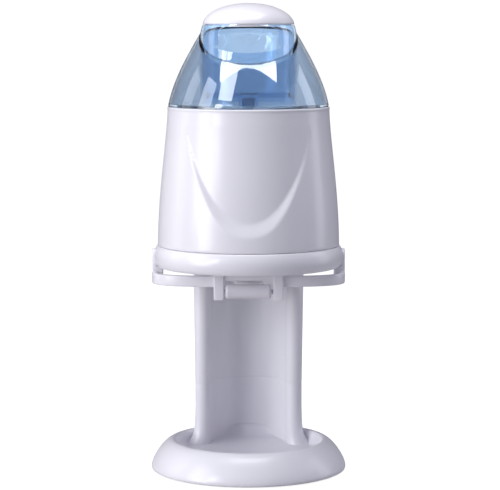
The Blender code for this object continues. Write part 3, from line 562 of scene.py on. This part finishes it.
def panel_depth(x, z):
    """How far the front is sunk: a ramp between the two edges, dying out towards the horns."""
    if abs(x) > PANEL_HALF or z < PANEL_LOW:
        return 0.0
    outer, inner = panel_edges(x)
    ramp_part = min(max((z - outer) / max(inner - outer, 1.2), 0.0), 1.0)
    ease = 0.6 * ramp_part + 0.4 * ramp_part * ramp_part * (3 - 2 * ramp_part)
    fade = max(0.0, 1.0 - (z - HORN_LOW) / HORN_RUN) ** 0.95 if z > HORN_LOW else 1.0
    return PANEL_DEPTH * ease * fade


def bezier_radius(curve, height):
    """The radius of a cubic (radius, height) curve at a height, by bisection."""
    low, high = 0.0, 1.0
    for _ in range(22):
        t = (low + high) / 2
        if cubic(curve, t)[1] < height:
            low = t
        else:
            high = t
    return cubic(curve, t)[0]


def body_shell():
    """The tapered shell, with a lip at its mouth and the front panel sunk into it, inner wall and all."""
    curve = [(BODY_R, BODY_LOW), (BODY_R - 0.4, 268.0), (77.2, 318.0), (77.0, BODY_TOP)]
    outer = bezier(curve, 120)
    foot = [(BODY_R - 1.0, BODY_LOW), (BODY_R - 0.3, BODY_LOW + 0.25), (BODY_R, BODY_LOW + 0.9)]
    outer = foot + [p for p in outer if BODY_LOW + 1.4 < p[1] < BODY_TOP - 2.6]
    lip = [(77.0, BODY_TOP - 2.4), (77.35, BODY_TOP - 1.9), (77.35, BODY_TOP - 0.7), (76.9, BODY_TOP - 0.1),
           (76.3, BODY_TOP), (74.2, BODY_TOP), (73.5, BODY_TOP - 0.7)]
    inside = [(73.5, BODY_TOP - 2), (73.5, 339.5), (74.5, 337.0)]
    inside += [(r - BODY_WALL, z) for r, z in bezier(curve, 90)[89:0:-1]]
    inside += [(COLLAR_R - 5.4, BODY_LOW), (COLLAR_R - 5.4, BODY_LOW - 4.5), (COLLAR_R - 3.3, BODY_LOW - 4.5),
               (COLLAR_R - 3.3, BODY_LOW)]
    bm = turned(outer + lip + inside, FINEST)
    for vert in bm.verts:
        radius = math.hypot(vert.co.x, vert.co.y)
        in_wall = radius > bezier_radius(curve, vert.co.z) - PANEL_SKIN
        if vert.co.y > 0 or not in_wall or not BODY_LOW < vert.co.z < BODY_TOP - 2.5:
            continue
        inwards = (radius - panel_depth(vert.co.x, vert.co.z)) / radius
        vert.co.x *= inwards
        vert.co.y *= inwards
    piece("body_shell", bm, WHITE, "frame", "white_plastic", "body_housing", sharp=50)


def collar_ring():
    """The bulging ring, with the floor under the drive and a sunk seat for each of the lever's ears."""
    profile = [(SPOUT_HOLE_R, COLLAR_LOW), (COLLAR_CURVE[0][0] - 0.5, COLLAR_LOW)]
    profile += bezier(COLLAR_CURVE, 40)[1:-1]
    profile += [(COLLAR_R - 0.2, COLLAR_TOP - 0.1), (COLLAR_R - 0.6, COLLAR_TOP),
                (COLLAR_R - 3.0, COLLAR_TOP), (COLLAR_R - 3.0, COLLAR_FLOOR), (SPOUT_HOLE_R, COLLAR_FLOOR)]
    ring = piece("collar_ring", turned(profile), WHITE, "frame", "white_plastic", "collar")
    room, low = EAR_R + 0.5, COLLAR_LOW
    seat = ([(-room, low - 2), (13.0, low - 2), (13.0, low), (9.8, 200.5), (8.7, LEVER_Z)]
            + arc((0, LEVER_Z), room, 22.5, 180, 21))
    for side in (-1, 1):
        ends = sorted((side * (LEVER_IN[0] - 0.4), side * 95))
        apply_boolean(ring, sideways(lofted([seat, seat], ends)), "DIFFERENCE")
    smooth_again(ring, 35)


# -------------------------------------------------------------------- spout

def spout_pieces():
    low, high = span("valve_body")[0].z, span("valve_body")[1].z
    radius = 14.0
    profile = eased([(7.5, low, 0.4), (radius, low, 1.2), (radius, low + 3.0, 0.4),
                     (radius - 0.6, low + 3.4, 0.3), (radius - 0.6, low + 4.2, 0.3), (radius, low + 4.6, 0.4),
                     (radius, COLLAR_FLOOR + 0.3),
                     (24.0, COLLAR_FLOOR + 0.3), (24.0, 200.0, 0.5), (15.0, 200.0), (15.0, high, 0.4),
                     (13.1, high, 0.3), (13.1, 202.6), (10.5, 202.6), (10.5, 199.6), (7.5, 198.4)])
    spout = piece("spout_body", turned(profile, MEDIUM), WHITE, "frame", "white_plastic", "valve_body")
    slit = lofted([[(-11.3, -20), (11.3, -20), (11.3, 20), (-11.3, 20)]] * 2, [180.0, 183.6])
    apply_boolean(spout, slit, "DIFFERENCE")
    low, high = span("star_nozzle")[0].z, span("star_nozzle")[1].z
    profile = eased([(0, low), (8.4, low, 0.5), (10.6, low + 2.0, 1.0), (12.4, low + 6.5, 2.0),
                     (13.0, high, 0.4), (0, high)])
    tip = piece("nozzle_tip", turned(profile, MEDIUM), WHITE, "frame", "white_plastic", "star_nozzle")
    star = []
    for i in range(72):
        angle = math.tau * i / 72
        radius = 5.5 + 1.7 * math.cos(6 * angle)
        star.append((radius * math.cos(angle), radius * math.sin(angle)))
    apply_boolean(tip, lofted([star, star], [low - 2, high + 2]), "DIFFERENCE")


# -------------------------------------------------------------------- lever

def super_point(size, angle):
    """A point on the lever's bowed plan; the angle runs from +X towards the front."""
    x, y = math.cos(angle), math.sin(angle)
    power = 2 / LEVER_POWER
    return (size[0] * math.copysign(abs(x) ** power, x), -size[1] * math.copysign(abs(y) ** power, y))


def lever_bar(side):
    """Half of the bar, swept with a rounded section from the ear to the prong."""
    section_steps = 4
    angles = [math.radians(80.0 * (i / 60) ** 1.6) for i in range(61)]
    path = [((LEVER_OUT[0] + LEVER_IN[0]) / 2, 5.0, LEVER_OUT[0] - LEVER_IN[0])]
    for a in angles:
        outer, inner = Vector(super_point(LEVER_OUT, a)), Vector(super_point(LEVER_IN, a))
        middle = (outer + inner) / 2
        path.append((middle.x, middle.y, (outer - inner).length))
    bm = bmesh.new()
    rings = []
    for i, (x, y, width) in enumerate(path):
        ahead = Vector(path[min(i + 1, len(path) - 1)][:2]) - Vector(path[max(i - 1, 0)][:2])
        across = Vector((-ahead.y, ahead.x)).normalized()
        width = min(width, 5.2)
        corners = eased([(-width / 2, BAR_Z[0], 1.3), (width / 2, BAR_Z[0], 1.3),
                         (width / 2, BAR_Z[1], 1.3), (-width / 2, BAR_Z[1], 1.3)], section_steps)
        rings.append([bm.verts.new((side * (x + across.x * u), y + across.y * u, z)) for u, z in corners])
    return skinned(bm, rings)


def rounded_box(low, high, edge):
    """A box with eased upright edges and rounded top and bottom rims."""
    outline = eased([(low[0], low[1], edge), (high[0], low[1], edge), (high[0], high[1], edge),
                     (low[0], high[1], edge)], 4)
    return plate(outline, low[2], high[2], edge * 0.8)


def lever_pieces():
    """The bail: both half bars, ears, shoulders, prongs and bridge fused and softened into one moulding."""
    side_y, top = EAR_R - 0.1, COLLAR_LOW - 0.3
    bridge = rounded_box((-PRONG_X[1] + 2, -47.5, 184.2), (PRONG_X[1] - 2, PRONG_Y[1], 190.3), 0.9)
    bail = mesh_object("lever_bail", bridge, WHITE)
    ear = [(-side_y, 176.8, 2.4), (side_y, 176.8, 2.4)] + arc((0, LEVER_Z), EAR_R, 0, 180, 24)
    shoulder = [(-side_y, 177.6, 1.5), (side_y, 177.6, 1.5), (side_y, top - 4.5), (-2.3, top),
                (-side_y, top, 0.6)]
    for side in (-1, 1):
        apply_boolean(bail, lever_bar(side), "UNION")
        ends = sorted((side * LEVER_IN[0], side * (LEVER_OUT[0] - 0.1)))
        apply_boolean(bail, sideways(plate(eased(ear), ends[0], ends[1], 1.2)), "UNION")
        ends = sorted((side * SHOULDER_X, side * (LEVER_OUT[0] - 0.3)))
        apply_boolean(bail, sideways(plate(eased(shoulder), ends[0], ends[1], 0.8)), "UNION")
        x_low, x_high = sorted((side * PRONG_X[0], side * PRONG_X[1]))
        prong = rounded_box((x_low, PRONG_Y[0], PRONG_Z[0]), (x_high, PRONG_Y[1] + 0.3, PRONG_Z[1]), 1.3)
        apply_boolean(bail, prong, "UNION")
    smooth_again(bail, 40)
    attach(bail, "lever")
    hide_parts("bail_lever")
    for name in ("lever_pin_left", "lever_pin_right"):
        low, high = span(name)
        profile = eased([(0, low.x), (2.4, low.x, 0.5), (2.4, high.x, 0.5), (0, high.x)])
        piece(name + "_shaft", laid(turned(profile, 40), "X", (0, 0, LEVER_Z)), STEEL, "lever", "steel", name)


def grip_pieces():
    """The roller: plain to the left, fine ribs towards its right end, rounded ends."""
    profile = [(2.5, -GRIP_HALF + 0.6), (3.1, -GRIP_HALF)]
    profile += arc((GRIP_R - GRIP_ROUND, -GRIP_HALF + GRIP_ROUND), GRIP_ROUND, -90, 0, 8)
    count = 220
    for i in range(count + 1):
        x = -GRIP_HALF + 3.2 + (2 * GRIP_HALF - 6.4) * i / count
        fade = min(1.0, max(0.0, (x + 6.0) / 12.0)) * 0.8 + 0.2
        profile.append((GRIP_R - RIB_DEPTH * fade * (0.5 + 0.5 * math.cos(math.tau * x / RIB_PITCH)), x))
    profile += arc((GRIP_R - GRIP_ROUND, GRIP_HALF - GRIP_ROUND), GRIP_ROUND, 0, 90, 8)
    profile += [(3.1, GRIP_HALF), (2.5, GRIP_HALF - 0.6)]
    piece("grip_roller_ribbed", laid(turned(profile, 64), "X", (0, GRIP_Y, GRIP_Z)), GRIP_WHITE, "grip",
          "white_plastic", "grip_roller", sharp=60)
    low, high = span("grip_axle")
    axle = eased([(0, low.x), (2.0, low.x, 0.4), (2.0, high.x, 0.4), (0, high.x)])
    piece("grip_axle_rod", laid(turned(axle, 32), "X", (0, GRIP_Y, GRIP_Z)), STEEL, "lever", "steel",
          "grip_axle")


# ---------------------------------------------------------------------- lid

def tower_solid(shrink, low=None, high=None):
    """The tower as a solid, drawn in by a distance, down and up to other heights if they are given."""
    radii_heights = [(TOWER_R, 349.0 if low is None else low), (TOWER_R, 410.0), (TOWER_R - 0.15, 414.0),
                     (TOWER_R - 0.6, 417.5), (TOWER_R - 1.4, 420.6), (TOWER_TOP_R, TOWER_TOP)]
    if high is not None:
        radii_heights.append((TOWER_TOP_R, high))
    turns = [math.tau * i / FINE for i in range(FINE)]
    outlines = [[((r - shrink) * math.cos(turn), TOWER_Y + (r - shrink) * math.sin(turn)) for turn in turns]
                for r, _ in radii_heights]
    return lofted(outlines, [z for _, z in radii_heights])


def pour_outline():
    """The opening in the tower's front, seen from the front: arched head, straight jambs, sagging sill."""
    head = [(27.2 * math.sin(math.radians(a)), 417.1 + 6.3 * math.cos(math.radians(a)))
            for a in range(90, -91, -6)]
    left = [(-27.6, 408.0), (-28.4, 405.0), (-31.4, 402.4)]
    sill = [(x, 397.2 + 5.0 * (abs(x) / 32.0) ** 2.2) for x in range(-28, 29, 4)]
    right = [(31.4, 402.4), (28.4, 405.0), (27.6, 408.0)]
    return head + left + sill + right


def lid_dome():
    """The clear dome, open where the tower stands in it, with a lip inside the body's mouth."""
    outside = bezier(DOME_CURVE, 36) + bezier(CROWN_CURVE, 12)[1:]
    inside = []
    for i, (r, z) in enumerate(outside):
        before, after = Vector(outside[max(i - 1, 0)]), Vector(outside[min(i + 1, len(outside) - 1)])
        run = (after - before).normalized()
        inside.append((r - LID_WALL * run.y, z + LID_WALL * run.x))
    inside = [p for p in inside if p[1] > LID_LOW + 2.6][::-1]
    flange, lip = LID_LOW + 2.2, LID_LOW - 4.0
    foot = [(74.0, flange + 0.3), (73.4, flange), (68.5, flange), (68.5, lip), (70.7, lip), (70.7, LID_LOW),
            (LID_R - 0.4, LID_LOW)]
    # The dome takes the darkened tint: painted shade.
    dome = mesh_object("lid_dome", turned(outside[1:] + inside + foot), CLEAR_BLUE_SHADED)
    apply_boolean(dome, tower_solid(1.1, low=353.0, high=TOWER_TOP + 6), "DIFFERENCE")
    return dome


def lid_tower():
    """The filling tower: a tube with the pouring mouth, a cross bar, the paddle's hub and a back rib."""
    # The tower takes the lightened tint: painted light.
    tower = mesh_object("lid_tower_tube", tower_solid(0.0), TOWER_BLUE_LIT)
    apply_boolean(tower, tower_solid(LID_WALL, low=335.0, high=TOWER_TOP + 6), "DIFFERENCE")
    window = upright(lofted([pour_outline()] * 2, [10.0, 80.0]), TOWER_Y)
    apply_boolean(tower, window, "DIFFERENCE")
    bar = lofted([[(-41.5, -4), (41.5, -4), (41.5, 4), (-41.5, 4)]] * 2, [354.2, 359.0])
    apply_boolean(tower, bar, "UNION")
    hub = eased([(0, 346.2), (9.5, 346.2, 0.8), (9.5, 358.0, 1.5), (0, 358.0)])
    apply_boolean(tower, turned(hub, 48), "UNION")
    socket = lofted([[(-5.3, -2.8), (5.3, -2.8), (5.3, 2.8), (-5.3, 2.8)]] * 2, [340.0, 354.0])
    apply_boolean(tower, socket, "DIFFERENCE")
    back = TOWER_Y + TOWER_R - LID_WALL
    rib = eased([(-2.0, back - 3.0, 0.8), (2.0, back - 3.0, 0.8), (2.0, back + 0.8), (-2.0, back + 0.8)])
    apply_boolean(tower, lofted([rib] * 2, [362.0, TOWER_TOP - 4]), "UNION")
    return tower


def lid_moulding():
    """Dome and tower joined into one clear moulding, so that no film of air is left between them."""
    dome, tower = lid_dome(), lid_tower()
    apply_boolean(dome, tower, "UNION")
    smooth_again(dome, 28)
    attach(dome, "lid")
    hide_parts("lid", "lid_tower")


def tower_joint():
    """The welded joint between dome and tower: a fine bead along the line where they meet, tinted near black
    as a painted dark line.
    """
    dome = bezier(DOME_CURVE, 60)
    path = []
    for i in range(41):
        angle = math.radians(-50 + 2.5 * i)
        radius = TOWER_R + 0.1
        x, y = radius * math.sin(angle), TOWER_Y - radius * math.cos(angle)
        reach = math.hypot(x, y)
        for (r_low, z_low), (r_high, z_high) in zip(dome, dome[1:]):
            if r_high <= reach <= r_low:
                path.append(Vector((x, y, z_low + (z_high - z_low) * (r_low - reach) / (r_low - r_high))))
    bm = bmesh.new()
    rings = []
    for i, here in enumerate(path):
        ahead = (path[min(i + 1, len(path) - 1)] - path[max(i - 1, 0)]).normalized()
        side = ahead.cross(Vector((0, 0, 1))).normalized()
        up = side.cross(ahead)
        radius = BEAD_R * min(1.0, 0.2 + 0.1 * min(i, len(path) - 1 - i))
        turns = [math.tau * k / BEAD_SIDES for k in range(BEAD_SIDES)]
        rings.append([bm.verts.new(here + radius * (math.cos(turn) * side + math.sin(turn) * up))
                      for turn in turns])
    piece("tower_joint_painted_dark_bead", skinned(bm, rings), JOINT_BLUE_PAINTED_DARK, "lid", "clear_blue", sharp=60)


def cap_dome():
    outer = bezier([(43.2, CAP_LOW + 0.8), (40.5, 434.5), (24.5, CAP_TOP), (0.0, CAP_TOP)], 40)
    crown = CAP_TOP - 2.6
    inner = bezier([(38.4, CAP_LOW + 2.2), (36.0, 432.0), (22.0, crown), (0.0, crown)], 16)[::-1]
    foot = [(38.2, CAP_LOW - 2.4), (40.0, CAP_LOW - 2.4), (40.0, CAP_LOW), (42.6, CAP_LOW),
            (43.1, CAP_LOW + 0.3)]
    piece("cap_dome", turned(outer + inner + foot, FINE, (0, TOWER_Y)), WHITE, "cap", "white_plastic", "cap")


# ------------------------------------------------------------------- inside

def bowl_pieces():
    low, high = span("bowl_rim")
    radius, bottom, top = high.x, low.z, high.z
    profile = eased([(58.6, bottom, 0.4), (radius, bottom, 0.4), (radius, top, 1.4), (58.6, top, 1.6)])
    piece("bowl_rim_ring", turned(profile), WHITE, "bowl", "white_plastic", "bowl_rim")
    wall = [(60.0, 336.8), (60.0, 256.5), (59.0, 251.8), (55.5, 249.0), (10.0, 246.6), (10.0, 201.7),
            (8.6, 201.7), (8.6, 246.0, 2.0), (9.4, 248.1, 1.0), (54.2, 250.6, 4.0), (58.5, 257.0, 3.0),
            (58.5, 336.8)]
    piece("bowl_liner_cup", turned(eased(wall)), ALUMINIUM, "bowl", "aluminium", "bowl_liner")
    top = span("bowl_shell")[1].z
    shell = eased([(70.0, top), (68.2, top), (68.2, 241.5, 1.5), (64.6, 237.9, 1.5), (14.2, 237.9),
                   (14.2, 236.0), (66.0, 236.0, 3.0), (70.0, 240.0, 3.0)])
    piece("bowl_shell_cup", turned(shell), BOWL_GREY, "bowl", "bowl_grey", "bowl_shell")


def well_cup():
    low, high = span("bowl_well")[0].z, span("bowl_well")[1].z
    profile = eased([(71.0, high, 0.4), (71.0, low + 3, 2.0), (34.0, low + 3, 0.4), (34.0, low, 0.4),
                     (73.0, low, 2.5), (73.0, high, 0.4)])
    piece("bowl_well_cup", turned(profile), WHITE, "frame", "white_plastic", "bowl_well")


def paddle_piece():
    half = [(5.0, 353.6, 0.6), (5.0, 270.0, 4.0), (47.0, 270.0, 2.0), (50.0, 273.0, 3.0), (50.0, 331.0, 2.0),
            (57.2, 331.0, 2.0), (57.2, 262.0, 4.0), (51.0, 255.0, 4.0)]
    outline = eased([(-x, z, r) for x, z, r in half] + half[::-1])
    piece("paddle_blade", upright(plate(outline, -2.5, 2.5, 1.0)), WHITE, "lid", "white_plastic", "paddle")


# ------------------------------------------------------------------- studio

SWEEP_GLOW = 0.92
WORLD_STRENGTH = 0.26
PALE_STRENGTH = 1.0


def area_light(name, place, aim, size, power, colour=(1, 1, 1)):
    light = bpy.data.lights.new(name, "AREA")
    light.shape = "RECTANGLE"
    light.size, light.size_y = size
    light.energy = power
    light.color = colour
    lamp = bpy.data.objects.new(name, light)
    lamp.location = place
    lamp.rotation_euler = (Vector(aim) - Vector(place)).to_track_quat("-Z", "Y").to_euler()
    bpy.context.scene.collection.objects.link(lamp)
    return lamp


def seen_directly(nodes, links):
    """1 for rays from the camera and for rays that have come through the clear lid, 0 for all others."""
    path = nodes.new("ShaderNodeLightPath")
    through = nodes.new("ShaderNodeMath")
    through.operation = "GREATER_THAN"
    through.inputs[1].default_value = 0.5
    links.new(path.outputs["Transmission Depth"], through.inputs[0])
    seen = nodes.new("ShaderNodeMath")
    seen.operation = "MAXIMUM"
    links.new(path.outputs["Is Camera Ray"], seen.inputs[0])
    links.new(through.outputs["Value"], seen.inputs[1])
    return seen.outputs["Value"]


def studio():
    """A white sweep, softboxes all round, two cards that light the lid alone, and a surround in two parts.

    The surround is dim where it lights the object, and pale where it is seen, directly or through the lid.
    """
    bm = bmesh.new()
    profile = [(-4.0, 0.0), (2.0, 0.0)]
    profile += [(2.0 + 1.5 * math.sin(math.radians(a)), 1.5 - 1.5 * math.cos(math.radians(a)))
                for a in range(6, 91, 6)] + [(3.5, 4.0)]
    rows = [[bm.verts.new((x, y, z)) for x in (-6.0, 6.0)] for y, z in profile]
    for low, high in zip(rows, rows[1:]):
        bm.faces.new((low[0], low[1], high[1], high[0]))
    mesh = bpy.data.meshes.new("studio_sweep")
    bm.to_mesh(mesh)
    bm.free()
    mesh.shade_smooth()
    made, nodes, links, shader = new_material("sweep_paper")
    paper = noise(nodes, links, 3.0, 3.0)
    tone = ramp(nodes, links, paper.outputs["Fac"], (0.42, 0.42, 0.42), (0.44, 0.44, 0.44))
    links.new(tone.outputs["Color"], shader.inputs["Base Color"])
    shader.inputs["Roughness"].default_value = 0.9
    shader.inputs["Specular IOR Level"].default_value = 0.1
    shader.inputs["Emission Color"].default_value = (1.0, 1.0, 1.0, 1.0)
    glow = spread(nodes, links, seen_directly(nodes, links), 0.0, SWEEP_GLOW)
    links.new(glow.outputs["Result"], shader.inputs["Emission Strength"])
    mesh.materials.append(made)
    sweep = bpy.data.objects.new("studio_sweep", mesh)
    bpy.context.scene.collection.objects.link(sweep)

    world = bpy.data.worlds.new("studio")
    bpy.context.scene.world = world
    world.use_nodes = True
    nodes, links = world.node_tree.nodes, world.node_tree.links
    dim = nodes["Background"]
    dim.inputs["Color"].default_value = (0.74, 0.73, 1.0, 1.0)
    dim.inputs["Strength"].default_value = WORLD_STRENGTH
    pale = nodes.new("ShaderNodeBackground")
    pale.inputs["Color"].default_value = (1.0, 1.0, 1.0, 1.0)
    pale.inputs["Strength"].default_value = PALE_STRENGTH
    mixed = nodes.new("ShaderNodeMixShader")
    links.new(seen_directly(nodes, links), mixed.inputs["Fac"])
    links.new(dim.outputs["Background"], mixed.inputs[1])
    links.new(pale.outputs["Background"], mixed.inputs[2])
    links.new(mixed.outputs["Shader"], nodes["World Output"].inputs["Surface"])

    middle = (0, 0, 0.25)
    area_light("key_left", (-1.50, -0.67, 0.80), middle, (0.55, 1.3), 8.9)
    area_light("key_front", (-1.12, -1.20, 0.65), middle, (0.30, 0.6), 5.9, (0.93, 0.93, 1.0))
    area_light("key_low", (-1.30, -0.90, 0.15), middle, (0.5, 0.5), 5.0)
    area_light("rim_left", (-1.50, 0.25, 0.60), middle, (0.5, 1.2), 2.4)
    area_light("rim_right", (1.50, 0.30, 0.60), middle, (0.5, 1.2), 3.9, (0.92, 0.92, 1.0))
    area_light("fill_right", (1.50, -0.40, 0.55), middle, (0.7, 1.3), 1.2, (0.90, 0.90, 1.0))
    area_light("top_soft", (0, -0.15, 1.6), middle, (0.9, 0.9), 13.5)
    lid_only = bpy.data.collections.new("lid_only")
    for obj in bpy.context.scene.objects:
        if obj.name.startswith(("lid_", "tower_")):
            lid_only.objects.link(obj)
    for card in (area_light("card_high", (0, -0.50, 1.12), (0, 0, 0.38), (1.4, 0.24), 13.0),
                 area_light("card_left", (-0.53, -0.75, 1.15), (0, 0, 0.38), (0.42, 0.7), 7.0)):
        card.visible_diffuse = False
        card.light_linking.receiver_collection = lid_only
    bpy.context.scene.view_settings.view_transform = "Standard"


def camera():
    """A long lens a little above the lid's height, looking slightly down."""
    data = bpy.data.cameras.new("camera")
    data.lens = 148.0
    data.sensor_width = 36.0
    data.clip_end = 50.0
    obj = bpy.data.objects.new("camera", data)
    height, distance, aim_z, shift_x = 0.425 + DATUM * MM, 1.96, 0.213 + DATUM * MM, 0.00144
    obj.location = (shift_x, -distance, height)
    obj.rotation_euler = (math.radians(90) - math.atan((height - aim_z) / distance), 0, 0)
    bpy.context.scene.collection.objects.link(obj)
    bpy.context.scene.camera = obj


finish_cad_nodes()
base_dish()
column_pieces()
foot_pads()
gland_and_switch()
body_shell()
collar_ring()
spout_pieces()
lever_pieces()
grip_pieces()
lid_moulding()
tower_joint()
cap_dome()
well_cup()
bowl_pieces()
paddle_piece()
studio()
camera()
